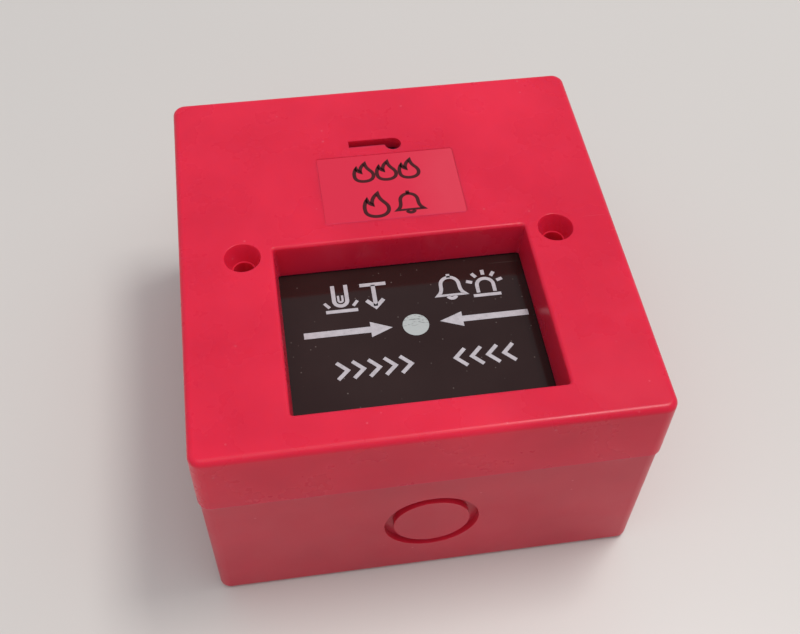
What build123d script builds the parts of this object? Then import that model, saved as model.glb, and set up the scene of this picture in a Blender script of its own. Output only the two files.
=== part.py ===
"""Manual call point: a surface box with a lift-off front cover.

The cover carries everything that works: the press panel and its carrier, the microswitch and its
board, and the keyed reset with its latch. The box underneath only holds the wiring.

Frame: millimetres, origin at the centre of the back face, +Z out of the front, +Y to the top.
"""
from build123d import *
import math
import os

CUT = 1.0               # how far a cutting tool runs past the face it leaves
JOIN = 0.5              # how far two shapes overlap so that they become one

# Case
WIDTH = 87.2            # the cover, side to side
HEIGHT = 91.4           # the cover, top to bottom
DEPTH = 51.0            # back face to front face
SPLIT_Z = 35.2          # lower edge of the cover's skirt
SEAM = 0.2              # shadow gap between the box rim and the skirt
CORNER = 2.6
FACE_EDGE_R = 1.3       # rounding all round the front face
COVER_WALL = 2.4
COVER_CORNER_IN = 1.2
FACE_T = 2.8
UNDER_FACE_Z = DEPTH - FACE_T
BOX_STEP = 0.6          # the box rim is narrower than the cover by this much
BOX_DRAFT = 0.7         # and narrows again by this much towards the wall
BOX_CORNER = 2.2
BOX_EDGE_R = 1.2
BOX_WALL = 2.5
FLOOR_T = 2.5
LIP_T = 1.2             # spigot that locates the cover
LIP_H = 3.0
LIP_GAP = 0.35
REBATE = 0.65           # the skirt is thinned by this much for the spigot

# Window in the face, and the panel seen through it
WINDOW_X = 25.3         # half width at the face
WINDOW_TOP = 1.15
WINDOW_BOTTOM = -37.8
WINDOW_DRAFT = 0.6      # each side, over the depth of the recess
WINDOW_FLOOR_Z = DEPTH - 7.8
WINDOW_WALL = 2.0
WINDOW_CORNER = 0.6
WINDOW_RIM_R = 0.7
PANEL_Z = WINDOW_FLOOR_Z - 0.3
FILM_T = 0.2
PANEL_T = 1.8
PANEL_EDGE = 1.4        # the panel is larger than the window's lower end by this much

# Cover screws and the posts under them
SCREW_X = 31.3
SCREW_Y = -0.4
COUNTERBORE_R = 3.6
COUNTERBORE_LOW_R = 2.35  # the seat narrows like a funnel
COUNTERBORE_Z = DEPTH - 3.8
COUNTERBORE_EDGE_R = 0.2
SCREW_HOLE_R = 2.05
BOSS_WALL = 1.4
BOSS_END_Z = DEPTH - 10.5
POST_R = 4.0
POST_TOP_Z = BOSS_END_Z - 0.3
POST_RIB_TOP_Z = 22.0
POST_RIB_HALF = 0.8
INSERT_R = 2.9
INSERT_BORE_R = 1.65
INSERT_L = 8.0
INSERT_GROOVE = (3.4, 4.6)
SCREW_RUN_OUT = 6.0     # clearance for the screw's tip below the insert

# Knockouts and wall fixing
KNOCKOUT_Z = 18.7
KNOCKOUT_R = 7.5
KNOCKOUT_GROOVE = 1.9
GROOVE_DEPTH = 1.4
WALL_HOLE_R = 2.25
WALL_HOLE_Y = 30.0

# Title label
LABEL = (28.8, 18.5)
LABEL_AT = (0.15, 15.5)
LABEL_T = 0.12
LABEL_RECESS = 0.2
LABEL_CORNER = 0.45

# Key slot and the cam behind it
KEY_X = 2.4
KEY_Y = 27.6
KEY_HOLE_R = 1.75
KEY_SLOT_L = 9.4        # from the round hole's centre to the slot's end
KEY_SLOT_H = 1.9
ROTOR_R = 11.0
ROTOR_FIT = 0.06
ROTOR_Z = (UNDER_FACE_Z - 3.5, UNDER_FACE_Z - 0.3)
ROTOR_FLOOR_T = 0.8     # what is left under the key's recess
COLLAR_WALL = 1.8
RETAINER_Z = (ROTOR_Z[0] - 2.3, ROTOR_Z[0] - 0.3)
RETAINER_EAR = 16.4
EAR_R = 2.6
EAR_PILOT_R = 0.95
EAR_HOLE_R = 1.15
HUB_R = 4.5
CAM_LOW_R = 3.0
CAM_HIGH_R = 6.0
CAM_STEPS = 6

# Mechanism plate inside the cover
PLATE_Z = (25.0, 27.4)
PLATE_HALF = 38.4
PLATE_CORNER = 2.0
CORNER_X = 34.5
CORNER_Y = 33.5
CORNER_BOSS_R = 3.2
CORNER_PILOT = (1.45, 12.0)     # radius, depth
CORNER_HOLE_R = 1.6
POST_NOTCH = 5.6        # half height of the notches that clear the posts
GUIDES = [(x, y) for x in (-19.0, 19.0) for y in (-32.0, -3.5)]
GUIDE_R = 1.6
GUIDE_FIT = 0.05
GUIDE_TOP_Z = PLATE_Z[1] + 8.8
SLEEVE_R = 3.0
SLEEVE_END_Z = PLATE_Z[1] + 5.6
CARRIER_Z = (PANEL_Z - 4.0, PANEL_Z - 2.0)
CARRIER_INSET = 0.3
RIB_Y = (-28.0, -9.0)
RIB_HALF = 14.0

# Latch slider and the cam's level
LATCH_Z = (33.8, 36.2)
CAM_Z = (LATCH_Z[0] + 0.1, LATCH_Z[1] + 0.3)
LATCH_HALF = 8.6
LATCH_NOSE_HALF = 3.5
LATCH_NOSE_Y = 5.4
LATCH_FRONT_Y = 8.0
LATCH_END_Y = KEY_Y + 8.0
LATCH_GAP = 0.3
LATCH_SLOT = (2.6, 8.5, 19.0)   # half width, start and end of the spring's slot
RAIL_Y = (9.0, 36.5)
RAIL_T = 1.6
RAIL_CAP = 1.4
SPRING_STOP = (1.8, 16.5, 18.4)
HOOK_HALF = 3.0
HOOK_END_Y = 5.0

# Springs: mean radius, wire, turns
RETURN_SPRING = (3.75, 0.55, 6)
LATCH_SPRING = (1.1, 0.36, 7)

# Board and its parts
BOARD_Z = (15.4, 17.0)
BOARD = (-24.0, 24.0, -37.0, 4.0)
BOARD_CORNER = 1.5
STANDOFFS = [(x, y) for x in (-20.8, 20.8) for y in (-33.6, 0.6)]
STANDOFF_R = 2.5
STANDOFF_PILOT_R = 0.95
BOARD_HOLE_R = 1.15
SWITCH = (-17.5, 2.5, -21.2, -14.8)
SWITCH_TOP_Z = 27.2
SWITCH_Y = -18.0
SWITCH_FIT = 0.7
SWITCH_PINS = (-16.0, -7.5, 1.0)
PIN_HOLE_R = 0.6
PIN_HALF = (0.4, 0.25)
PIN_OUT = 1.6
SOLDER_GAP = 0.05
PIVOT_X = -15.5
PIVOT_Z = SWITCH_TOP_Z + 1.2
PIVOT_R = 0.4
EAR_HALF = 1.1
EAR_T = 0.6
LEVER_ANGLE = 14.0
LEVER_L = 15.2
LEVER_HALF = 1.75
LEVER_STRIP = (0.47, 0.85)      # under and upper side of the strip above its pivot
LEVER_TIP_R = 0.9
PLUNGER_X = -12.5
PLUNGER_R = 0.9
TERMINAL_X = [-7.5, -2.5, 2.5, 7.5]
TERMINAL_HALF = 10.2
TERMINAL_Y = (-36.4, -28.4)
TERMINAL_BACK_Z = BOARD_Z[0] - 10.0
SCREW_INSET = 4.0       # terminal screws behind the block's front
RESISTORS_AT = [(-8.0, -10.0), (-8.0, -4.5)]
DIODE_AT = (10.0, -7.5)
LEAD_R = 0.3


def block(x0, x1, y0, y1, z0, z1):
    size = (x1 - x0, y1 - y0, z1 - z0)
    return Pos((x0 + x1) / 2, (y0 + y1) / 2, (z0 + z1) / 2) * Box(*size)


def rod(x, y, z0, z1, r):
    return Pos(x, y, (z0 + z1) / 2) * Cylinder(r, z1 - z0)


def rod_y(x, z, y0, y1, r):
    return Pos(x, (y0 + y1) / 2, z) * Rot(90, 0, 0) * Cylinder(r, y1 - y0)


def rod_x(y, z, x0, x1, r):
    return Pos((x0 + x1) / 2, y, z) * Rot(0, 90, 0) * Cylinder(r, x1 - x0)


def slab(width, height, z0, z1, corner, at=(0.0, 0.0)):
    outline = Pos(at[0], at[1], z0) * RectangleRounded(width, height, corner)
    return extrude(outline, z1 - z0)


def ring(x, y, z0, z1, outer, inner):
    return rod(x, y, z0, z1, outer) - rod(x, y, z0 - CUT, z1 + CUT, inner)


def inside_case(inset, z0, z1, corner):
    """A slab with the cover's outline, smaller by inset on every side."""
    return slab(WIDTH - 2 * inset, HEIGHT - 2 * inset, z0, z1, corner)


def window_prism(grow, z0, z1):
    """The window's drafted recess, grown by grow, cut between two heights."""
    def outline(z):
        inset = WINDOW_DRAFT * (DEPTH - z) / (DEPTH - WINDOW_FLOOR_Z)
        half = WINDOW_X - inset + grow
        top, bottom = WINDOW_TOP - inset + grow, WINDOW_BOTTOM + inset - grow
        return Pos(0, (top + bottom) / 2, z) * RectangleRounded(2 * half, top - bottom, WINDOW_CORNER + grow)
    return loft([outline(z0), outline(z1)])


def coil(radius, wire, turns, length):
    """A compression spring standing on the origin, with its wire inside the stated length."""
    rise = length - wire
    path = Helix(rise / turns, rise, radius)
    start = Plane(origin=path @ 0, z_dir=path % 0)
    return Pos(0, 0, wire / 2) * sweep(start * Circle(wire / 2), path)


def pan_screw(x, y, seat_z, head_r, head_h, shank_r, length):
    """A screw driven towards +Z, its head below seat_z, with a cross recess."""
    head = rod(x, y, seat_z - head_h, seat_z, head_r)
    head = fillet(head.edges().group_by(Axis.Z)[0], head_h * 0.4)
    slot = block(-head_r * 0.62, head_r * 0.62, -0.3, 0.3, -0.1, head_h * 0.55)
    cross = Pos(x, y, seat_z - head_h) * (slot + Rot(0, 0, 90) * slot)
    return head + rod(x, y, seat_z, seat_z + length, shank_r) - cross


def back_box():
    grow = math.degrees(math.atan(BOX_DRAFT / 2 / SPLIT_Z))
    top_z = SPLIT_Z - SEAM
    back_inset = (BOX_STEP + BOX_DRAFT) / 2
    back = (WIDTH - 2 * back_inset, HEIGHT - 2 * back_inset)
    shell = extrude(RectangleRounded(*back, BOX_CORNER), top_z, taper=-grow)
    shell = fillet(shell.edges().group_by(Axis.Z)[0], BOX_EDGE_R)
    lip_inset = COVER_WALL - REBATE + LIP_GAP
    shell += inside_case(lip_inset, top_z - LIP_H, top_z + LIP_H, 2.0)
    shell -= inside_case(lip_inset + LIP_T, top_z - LIP_H - CUT, top_z + LIP_H + CUT, 1.4)
    shell -= inside_case(back_inset + BOX_WALL, FLOOR_T, top_z - LIP_H - CUT * 0.9, 1.2)
    wall_x = WIDTH / 2 - back_inset - BOX_WALL
    for side in (-1, 1):
        x = side * SCREW_X
        shell += rod(x, SCREW_Y, FLOOR_T - JOIN, POST_TOP_Z, POST_R)
        reach = sorted((x, side * (wall_x + JOIN)))
        rib = (SCREW_Y - POST_RIB_HALF, SCREW_Y + POST_RIB_HALF)
        shell += block(*reach, *rib, FLOOR_T - JOIN, POST_RIB_TOP_Z)
        shell -= rod(x, SCREW_Y, POST_TOP_Z - INSERT_L, POST_TOP_Z + CUT, INSERT_R)
        run_out_z = POST_TOP_Z - INSERT_L - SCREW_RUN_OUT
        shell -= rod(x, SCREW_Y, run_out_z, POST_TOP_Z, INSERT_BORE_R + 0.4)
        shell -= rod(0, side * WALL_HOLE_Y, -CUT, FLOOR_T + CUT, WALL_HOLE_R)
        wall_y = side * (back[1] / 2 + BOX_DRAFT / 2 * KNOCKOUT_Z / SPLIT_Z)
        span = sorted((wall_y - side * GROOVE_DEPTH, wall_y + side * 2 * CUT))
        groove = rod_y(0, KNOCKOUT_Z, *span, KNOCKOUT_R + KNOCKOUT_GROOVE)
        groove -= rod_y(0, KNOCKOUT_Z, span[0] - CUT, span[1] + CUT, KNOCKOUT_R)
        shell -= groove
    return shell - ring(0, 0, -CUT, GROOVE_DEPTH, KNOCKOUT_R + KNOCKOUT_GROOVE, KNOCKOUT_R)


def threaded_inserts():
    z0, z1 = POST_TOP_Z - INSERT_L, POST_TOP_Z
    groove = (z0 + INSERT_GROOVE[0], z0 + INSERT_GROOVE[1])
    inserts = []
    for x in (-SCREW_X, SCREW_X):
        body = ring(x, SCREW_Y, z0, z1, INSERT_R, INSERT_BORE_R)
        inserts.append(body - ring(x, SCREW_Y, *groove, INSERT_R + CUT, INSERT_R - 0.4))
    return Compound(inserts)


def key_slot(z0, z1):
    cut = rod(KEY_X, KEY_Y, z0, z1, KEY_HOLE_R)
    top = KEY_Y + KEY_HOLE_R
    return cut + block(KEY_X - KEY_SLOT_L, KEY_X, top - KEY_SLOT_H, top, z0, z1)


def front_cover():
    join_z = UNDER_FACE_Z + JOIN
    shell = slab(WIDTH, HEIGHT, SPLIT_Z, DEPTH, CORNER)
    shell = fillet(shell.edges().group_by(Axis.Z)[-1], FACE_EDGE_R)
    shell -= inside_case(COVER_WALL, SPLIT_Z - CUT, UNDER_FACE_Z, COVER_CORNER_IN)
    shell -= inside_case(COVER_WALL - REBATE, SPLIT_Z - CUT, SPLIT_Z + LIP_H + 0.4, 1.4)
    shell += window_prism(WINDOW_WALL, WINDOW_FLOOR_Z, join_z)
    shell += ring(KEY_X, KEY_Y, RETAINER_Z[1], join_z, ROTOR_R + COLLAR_WALL, ROTOR_R + ROTOR_FIT)
    for side in (-1, 1):
        shell += rod(side * SCREW_X, SCREW_Y, BOSS_END_Z, join_z, COUNTERBORE_R + BOSS_WALL)
        ear_x = KEY_X + side * RETAINER_EAR
        shell += rod(ear_x, KEY_Y, RETAINER_Z[1], join_z, EAR_R)
        shell -= rod(ear_x, KEY_Y, RETAINER_Z[1] - CUT, UNDER_FACE_Z - 0.6, EAR_PILOT_R)
        for y in (-CORNER_Y, CORNER_Y):
            x = side * CORNER_X
            pilot_r, pilot_depth = CORNER_PILOT
            shell += rod(x, y, PLATE_Z[1], join_z, CORNER_BOSS_R)
            shell -= rod(x, y, PLATE_Z[1] - CUT, PLATE_Z[1] + pilot_depth, pilot_r)
    shell -= window_prism(0, WINDOW_FLOOR_Z - CUT, DEPTH + CUT)
    for x in (-SCREW_X, SCREW_X):
        seat_h = DEPTH - COUNTERBORE_Z
        shell -= Pos(x, SCREW_Y, DEPTH - seat_h / 2) * Cone(COUNTERBORE_LOW_R, COUNTERBORE_R, seat_h)
        shell -= rod(x, SCREW_Y, BOSS_END_Z - CUT, DEPTH, SCREW_HOLE_R)
    shell -= key_slot(UNDER_FACE_Z - CUT, DEPTH + CUT)
    recess = (LABEL[0] + 0.1, LABEL[1] + 0.1)
    shell -= slab(*recess, DEPTH - LABEL_RECESS, DEPTH + CUT, LABEL_CORNER + 0.05, LABEL_AT)
    near = 0.2
    mouths = [e for e in shell.edges().filter_by_position(Axis.Z, DEPTH - 0.01, DEPTH + 0.01)
              if abs(abs(e.center().X) - SCREW_X) < COUNTERBORE_R + near
              and abs(e.center().Y - SCREW_Y) < COUNTERBORE_R + near]
    shell = fillet(mouths, COUNTERBORE_EDGE_R)
    rim = [e for e in shell.edges().filter_by_position(Axis.Z, DEPTH - 0.01, DEPTH + 0.01)
           if abs(e.center().X) < WINDOW_X + near
           and WINDOW_BOTTOM - near < e.center().Y < WINDOW_TOP + near]
    return fillet(rim, WINDOW_RIM_R)


def title_label():
    floor = DEPTH - LABEL_RECESS
    return slab(*LABEL, floor, floor + LABEL_T, LABEL_CORNER, LABEL_AT)


def key_cam():
    body = rod(KEY_X, KEY_Y, *ROTOR_Z, ROTOR_R)
    body += rod(KEY_X, KEY_Y, CAM_Z[1], ROTOR_Z[0] + JOIN, HUB_R)
    body -= key_slot(ROTOR_Z[0] + ROTOR_FLOOR_T, ROTOR_Z[1] + CUT)

    def spiral(t):
        angle = math.radians(90 + 90 * t)
        r = CAM_LOW_R + (CAM_HIGH_R - CAM_LOW_R) * t
        return (KEY_X + r * math.cos(angle), KEY_Y + r * math.sin(angle))

    rise = Spline([spiral(i / CAM_STEPS) for i in range(CAM_STEPS + 1)])
    heel = math.radians(240)
    drop = Line(spiral(1), (KEY_X + CAM_LOW_R * math.cos(heel), KEY_Y + CAM_LOW_R * math.sin(heel)))
    base = ThreePointArc(drop @ 1, (KEY_X + CAM_LOW_R, KEY_Y), spiral(0))
    lobe = extrude(Pos(0, 0, CAM_Z[0]) * make_face([rise, drop, base]), CAM_Z[1] - CAM_Z[0])
    return body + lobe


def cam_retainer():
    low, high = RETAINER_Z
    plate = rod(KEY_X, KEY_Y, low, high, ROTOR_R + COLLAR_WALL)
    plate += slab(2 * (RETAINER_EAR + EAR_R), 2 * EAR_R, low, high, EAR_R - 0.1, (KEY_X, KEY_Y))
    plate -= rod(KEY_X, KEY_Y, low - CUT, high + CUT, HUB_R + ROTOR_FIT)
    for side in (-1, 1):
        plate -= rod(KEY_X + side * RETAINER_EAR, KEY_Y, low - CUT, high + CUT, EAR_HOLE_R)
    return plate


def latch_slider():
    """A flat slider with a window for the cam, a pad that the cam pushes and a sprung slot."""
    low, high = LATCH_Z
    body = block(KEY_X - LATCH_HALF, KEY_X + LATCH_HALF, LATCH_FRONT_Y, LATCH_END_Y, low, high)
    nose_end = LATCH_FRONT_Y + JOIN
    body += block(KEY_X - LATCH_NOSE_HALF, KEY_X + LATCH_NOSE_HALF, LATCH_NOSE_Y, nose_end, low, high)
    nose = body.edges().filter_by(Axis.X).sort_by(Axis.Y)[:2].sort_by(Axis.Z)[-1]
    body = chamfer(nose, 1.4)
    reach = CAM_HIGH_R + 0.5
    pad_y = KEY_Y + CAM_LOW_R + LATCH_GAP + 1.0
    body -= block(KEY_X - reach, KEY_X + reach, KEY_Y - 7.0, pad_y + 0.4, low - CUT, high + CUT)
    body += rod(KEY_X, pad_y, low, high, 1.0)
    body += block(KEY_X - 0.9, KEY_X + 0.9, pad_y + 0.1, pad_y + 0.7, low, high)
    half, start, end = LATCH_SLOT
    return body - block(KEY_X - half, KEY_X + half, start, end, low - CUT, high + CUT)


def latch_spring():
    start = LATCH_SLOT[1]
    at = Pos(KEY_X, start, (LATCH_Z[0] + LATCH_Z[1]) / 2) * Rot(-90, 0, 0)
    return at * coil(*LATCH_SPRING, SPRING_STOP[1] - start)


def mechanism_plate():
    low, high = PLATE_Z
    plate = slab(2 * PLATE_HALF, 2 * PLATE_HALF, low, high, PLATE_CORNER)
    for side in (-1, 1):
        reach = sorted((side * (SCREW_X - POST_R - 1.4), side * (PLATE_HALF + CUT)))
        plate -= block(*reach, -POST_NOTCH, POST_NOTCH, low - CUT, high + CUT)
        for y in (-CORNER_Y, CORNER_Y):
            plate -= rod(side * CORNER_X, y, low - CUT, high + CUT, CORNER_HOLE_R)
    x0, x1, y0, y1 = SWITCH
    fit = SWITCH_FIT
    plate -= block(x0 - fit, x1 + fit, y0 - fit, y1 + fit, low - CUT, high + CUT)
    for x, y in GUIDES:
        plate += rod(x, y, high - JOIN, GUIDE_TOP_Z, GUIDE_R)
    for x, y in STANDOFFS:
        plate += rod(x, y, BOARD_Z[1], low + JOIN, STANDOFF_R)
        plate -= rod(x, y, BOARD_Z[1] - CUT, low, STANDOFF_PILOT_R)
    inner = LATCH_HALF + LATCH_GAP
    roof_z = (LATCH_Z[1] + LATCH_GAP, LATCH_Z[1] + LATCH_GAP + RAIL_CAP)
    for side in (-1, 1):
        def rail(a, b, z0, z1):
            return block(*sorted((KEY_X + side * a, KEY_X + side * b)), *RAIL_Y, z0, z1)
        plate += rail(inner, inner + RAIL_T, high - JOIN, roof_z[1])
        plate += rail(inner - 1.8, inner + 0.1, high - JOIN, LATCH_Z[0] - LATCH_GAP)
        plate += rail(inner - 1.0, inner + 0.1, *roof_z)
    half, start, end = SPRING_STOP
    return plate + block(KEY_X - half, KEY_X + half, start, end, high - JOIN, LATCH_Z[1] - 0.2)


def panel_outline(grow, z0, z1):
    inset = WINDOW_DRAFT - PANEL_EDGE - grow
    half = WINDOW_X - inset
    top, bottom = WINDOW_TOP - inset, WINDOW_BOTTOM + inset
    return slab(2 * half, top - bottom, z0, z1, 1.0, (0, (top + bottom) / 2))


def legend_film():
    return panel_outline(0, PANEL_Z - FILM_T, PANEL_Z)


def press_panel():
    return panel_outline(0, PANEL_Z - FILM_T - PANEL_T, PANEL_Z - FILM_T)


def panel_carrier():
    """The tray under the panel: four sleeves, the pusher over the lever, two ribs and the hook."""
    low, high = CARRIER_Z
    body = panel_outline(-CARRIER_INSET, low, high)
    for x, y in GUIDES:
        body += rod(x, y, SLEEVE_END_Z, low + JOIN, SLEEVE_R)
        body -= rod(x, y, SLEEVE_END_Z - CUT, high - 0.8, GUIDE_R + GUIDE_FIT)
    tip_x, tip_z = lever_tip()
    body += rod(tip_x, SWITCH_Y, tip_z + 0.3, low + JOIN, 1.8)
    for y in RIB_Y:
        body += block(-RIB_HALF, RIB_HALF, y - 0.6, y + 0.6, low - 1.6, low + JOIN)
    edge = WINDOW_TOP - WINDOW_DRAFT + PANEL_EDGE - CARRIER_INSET
    hook = (KEY_X - HOOK_HALF, KEY_X + HOOK_HALF)
    hook_z = LATCH_Z[1] - 1.0
    body += block(*hook, edge - 1.0, edge + 1.2, hook_z, high - JOIN)
    return body + block(*hook, edge, HOOK_END_Y, hook_z, LATCH_Z[1] + 0.6)


def return_springs():
    spring = coil(*RETURN_SPRING, CARRIER_Z[0] - PLATE_Z[1])
    return Compound([Pos(x, y, PLATE_Z[1]) * spring for x, y in GUIDES])


def circuit_board():
    x0, x1, y0, y1 = BOARD
    board = slab(x1 - x0, y1 - y0, *BOARD_Z, BOARD_CORNER, ((x0 + x1) / 2, (y0 + y1) / 2))
    through = (BOARD_Z[0] - CUT, BOARD_Z[1] + CUT)
    for x, y in STANDOFFS:
        board -= rod(x, y, *through, BOARD_HOLE_R)
    for x in SWITCH_PINS:
        board -= rod(x, SWITCH_Y, *through, PIN_HOLE_R)
    return board


def microswitch_body():
    x0, x1, y0, y1 = SWITCH
    body = block(x0, x1, y0, y1, BOARD_Z[1] + SOLDER_GAP, SWITCH_TOP_Z)
    body = fillet(body.edges().filter_by(Axis.Z), 0.5)
    ear_x = (PIVOT_X - EAR_HALF, PIVOT_X + EAR_HALF)
    for y in (y0 + EAR_T, y1 - EAR_T):
        body += block(*ear_x, y - EAR_T, y + EAR_T, SWITCH_TOP_Z - 0.2, PIVOT_Z + 1.0)
    for x in (x0 + 5.2, x1 - 5.2):
        body -= rod_y(x, BOARD_Z[1] + 3.0, y0 - CUT, y1 + CUT, 1.2)
    body -= rod_y(PIVOT_X, PIVOT_Z, y0 - CUT, y1 + CUT, PIVOT_R + 0.02)
    return body - rod(PLUNGER_X, SWITCH_Y, SWITCH_TOP_Z - 3.0, SWITCH_TOP_Z + CUT, PLUNGER_R + 0.05)


def switch_pins():
    z0, z1 = BOARD_Z[0] - PIN_OUT, BOARD_Z[1] + SOLDER_GAP
    dx, dy = PIN_HALF
    y0, y1 = SWITCH_Y - dy, SWITCH_Y + dy
    return Compound([block(x - dx, x + dx, y0, y1, z0, z1) for x in SWITCH_PINS])


def lever_pin():
    return rod_y(PIVOT_X, PIVOT_Z, SWITCH[2], SWITCH[3], PIVOT_R)


def lever_tip():
    """Where the lever's nose stands at rest: its centre line in X, its highest point in Z."""
    a = math.radians(LEVER_ANGLE)
    x = PIVOT_X + LEVER_L * math.cos(a) - LEVER_TIP_R * math.sin(a)
    z = PIVOT_Z + LEVER_L * math.sin(a) + LEVER_TIP_R * (math.cos(a) + 1)
    return x, z


def switch_lever():
    y0, y1 = SWITCH_Y - LEVER_HALF, SWITCH_Y + LEVER_HALF
    under = LEVER_STRIP[0]
    arm = block(0.0, LEVER_L, y0, y1, *LEVER_STRIP)
    arm += rod_y(0, 0, y0, y1, LEVER_STRIP[1])
    nose = rod_y(LEVER_L, LEVER_TIP_R, y0, y1, LEVER_TIP_R)
    arm += nose - block(LEVER_L - 2, LEVER_L + 2, y0 - CUT, y1 + CUT, -CUT, under)
    arm -= rod_y(0, 0, y0 - CUT, y1 + CUT, PIVOT_R + 0.05)
    return Pos(PIVOT_X, 0, PIVOT_Z) * Rot(0, -LEVER_ANGLE, 0) * arm


def switch_plunger():
    body = rod(PLUNGER_X, SWITCH_Y, SWITCH_TOP_Z - 1.8, PIVOT_Z + 0.95, PLUNGER_R)
    return fillet(body.edges().group_by(Axis.Z)[-1], 0.5)


def terminal_block():
    y0, y1 = TERMINAL_Y
    back = TERMINAL_BACK_Z
    body = block(-TERMINAL_HALF, TERMINAL_HALF, y0, y1, back, BOARD_Z[0])
    body = chamfer(body.edges().filter_by(Axis.X).group_by(Axis.Z)[0], 0.6)
    for x in TERMINAL_X:
        body -= rod(x, y0 + SCREW_INSET, back - CUT, back + 3.6, 1.8)
        body -= block(x - 1.9, x + 1.9, y0 - CUT, y0 + 6.2, back + 3.2, back + 8.2)
    return body


def terminal_cages():
    y0 = TERMINAL_Y[0]
    z0, z1 = TERMINAL_BACK_Z + 3.3, TERMINAL_BACK_Z + 8.1
    cages = []
    for x in TERMINAL_X:
        cage = block(x - 1.8, x + 1.8, y0 + 0.6, y0 + 6.1, z0, z1)
        cage -= block(x - 1.25, x + 1.25, y0, y0 + 7, z0 + 1.9, z1 - 0.6)
        cages.append(cage - rod(x, y0 + SCREW_INSET, z0 - CUT, z0 + 2.5, 1.25))
    return Compound(cages)


def terminal_screws():
    y = TERMINAL_Y[0] + SCREW_INSET
    back = TERMINAL_BACK_Z
    screws = []
    for x in TERMINAL_X:
        screw = rod(x, y, back + 1.1, back + 2.9, 1.7)
        screw += rod(x, y, back + 2.5, back + 5.6, 1.2)
        screws.append(screw - block(x - 2, x + 2, y - 0.3, y + 0.3, back, back + 2.0))
    return Compound(screws)


def axial_part(x, y, body_r, body_l, pitch):
    """A resistor or diode lying on the back of the board, leads bent into it."""
    z = BOARD_Z[0] - body_r - 0.2
    body = rod_x(y, z, x - body_l / 2, x + body_l / 2, body_r)
    body = fillet(body.edges(), body_r * 0.35)
    body += rod_x(y, z, x - pitch / 2, x + pitch / 2, LEAD_R)
    for end in (x - pitch / 2, x + pitch / 2):
        body += rod(end, y, z, BOARD_Z[0], LEAD_R) + Pos(end, y, z) * Sphere(LEAD_R)
    return body


def resistors():
    return Compound([axial_part(x, y, 1.15, 6.3, 10.2) for x, y in RESISTORS_AT])


def diode():
    return axial_part(*DIODE_AT, 1.3, 5.2, 9.6)


def main():
    os.makedirs("parts", exist_ok=True)
    corner = [(x, y) for x in (-CORNER_X, CORNER_X) for y in (-CORNER_Y, CORNER_Y)]
    ears = [(KEY_X + side * RETAINER_EAR, KEY_Y) for side in (-1, 1)]
    parts = {
        "back_box": back_box(),
        "threaded_inserts": threaded_inserts(),
        "front_cover": front_cover(),
        "title_label": title_label(),
        "mechanism_plate": mechanism_plate(),
        "plate_screws": Compound([pan_screw(x, y, PLATE_Z[0], 2.7, 1.9, 1.4, 12.0) for x, y in corner]),
        "cam_retainer": cam_retainer(),
        "retainer_screws": Compound([pan_screw(x, y, RETAINER_Z[0], 2.0, 1.4, 0.9, 4.6) for x, y in ears]),
        "circuit_board": circuit_board(),
        "board_screws": Compound([pan_screw(x, y, BOARD_Z[0], 2.1, 1.5, 0.9, 8.0) for x, y in STANDOFFS]),
        "microswitch_body": microswitch_body(),
        "switch_pins": switch_pins(),
        "lever_pin": lever_pin(),
        "terminal_block": terminal_block(),
        "terminal_cages": terminal_cages(),
        "terminal_screws": terminal_screws(),
        "resistors": resistors(),
        "diode": diode(),
        "return_springs": return_springs(),
        "latch_spring": latch_spring(),
        "legend_film": legend_film(),
        "press_panel": press_panel(),
        "panel_carrier": panel_carrier(),
        "switch_lever": switch_lever(),
        "switch_plunger": switch_plunger(),
        "key_cam": key_cam(),
        "latch_slider": latch_slider(),
    }
    for name, shape in parts.items():
        export_step(shape, f"parts/{name}.step")
        print(f"{name}: {len(shape.solids())} solids, {shape.volume:.1f} mm3")


main()
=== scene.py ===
# %% [markdown]
# # A manual call point
# A manual call point is the red box on a wall that a person presses to raise the alarm. This one lies on
# its back on a pale table. Its body is made of two plain mouldings, a back box and a cover, and the cover
# has a window cut into it with a dark printed panel at the bottom.
#
# The solid model already exists, so this lesson adds what a solid model can't say: how the red plastic
# takes light, how the printing sits on the film, and what the small metal parts inside look like.

# %% The frame
import math

import bmesh
import bpy
from mathutils import Matrix, Vector


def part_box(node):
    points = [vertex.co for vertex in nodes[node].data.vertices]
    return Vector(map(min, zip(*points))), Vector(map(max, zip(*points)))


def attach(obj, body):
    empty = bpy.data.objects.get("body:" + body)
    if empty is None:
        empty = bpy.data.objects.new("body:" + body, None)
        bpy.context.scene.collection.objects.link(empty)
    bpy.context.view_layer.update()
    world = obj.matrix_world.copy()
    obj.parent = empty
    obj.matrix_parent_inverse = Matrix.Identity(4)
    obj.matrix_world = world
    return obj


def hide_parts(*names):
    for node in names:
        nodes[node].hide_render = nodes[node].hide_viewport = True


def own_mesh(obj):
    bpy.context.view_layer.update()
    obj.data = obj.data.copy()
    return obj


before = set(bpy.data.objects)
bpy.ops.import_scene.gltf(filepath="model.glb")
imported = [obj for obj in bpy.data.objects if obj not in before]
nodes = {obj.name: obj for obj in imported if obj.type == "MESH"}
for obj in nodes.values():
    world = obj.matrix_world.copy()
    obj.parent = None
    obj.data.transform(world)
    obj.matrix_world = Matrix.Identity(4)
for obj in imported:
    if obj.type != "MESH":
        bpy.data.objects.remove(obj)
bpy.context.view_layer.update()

MM = 0.001

# %% [markdown]
# ## Two surfaces to measure from
# Everything drawn on the object lies on one of two flat surfaces: the face of the cover, and the film at
# the bottom of the window. Their heights come from the frame, so the printing can never float or sink.
# Lengths below are in millimetres, because that is how a printer or a toolmaker would give them.

# %% Heights of the two printed surfaces
label_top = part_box("title_label")[1].z
film_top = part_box("legend_film")[1].z
INK = 0.02 * MM
print("label at", round(label_top / MM, 2), "mm, film at", round(film_top / MM, 2), "mm")

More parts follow.
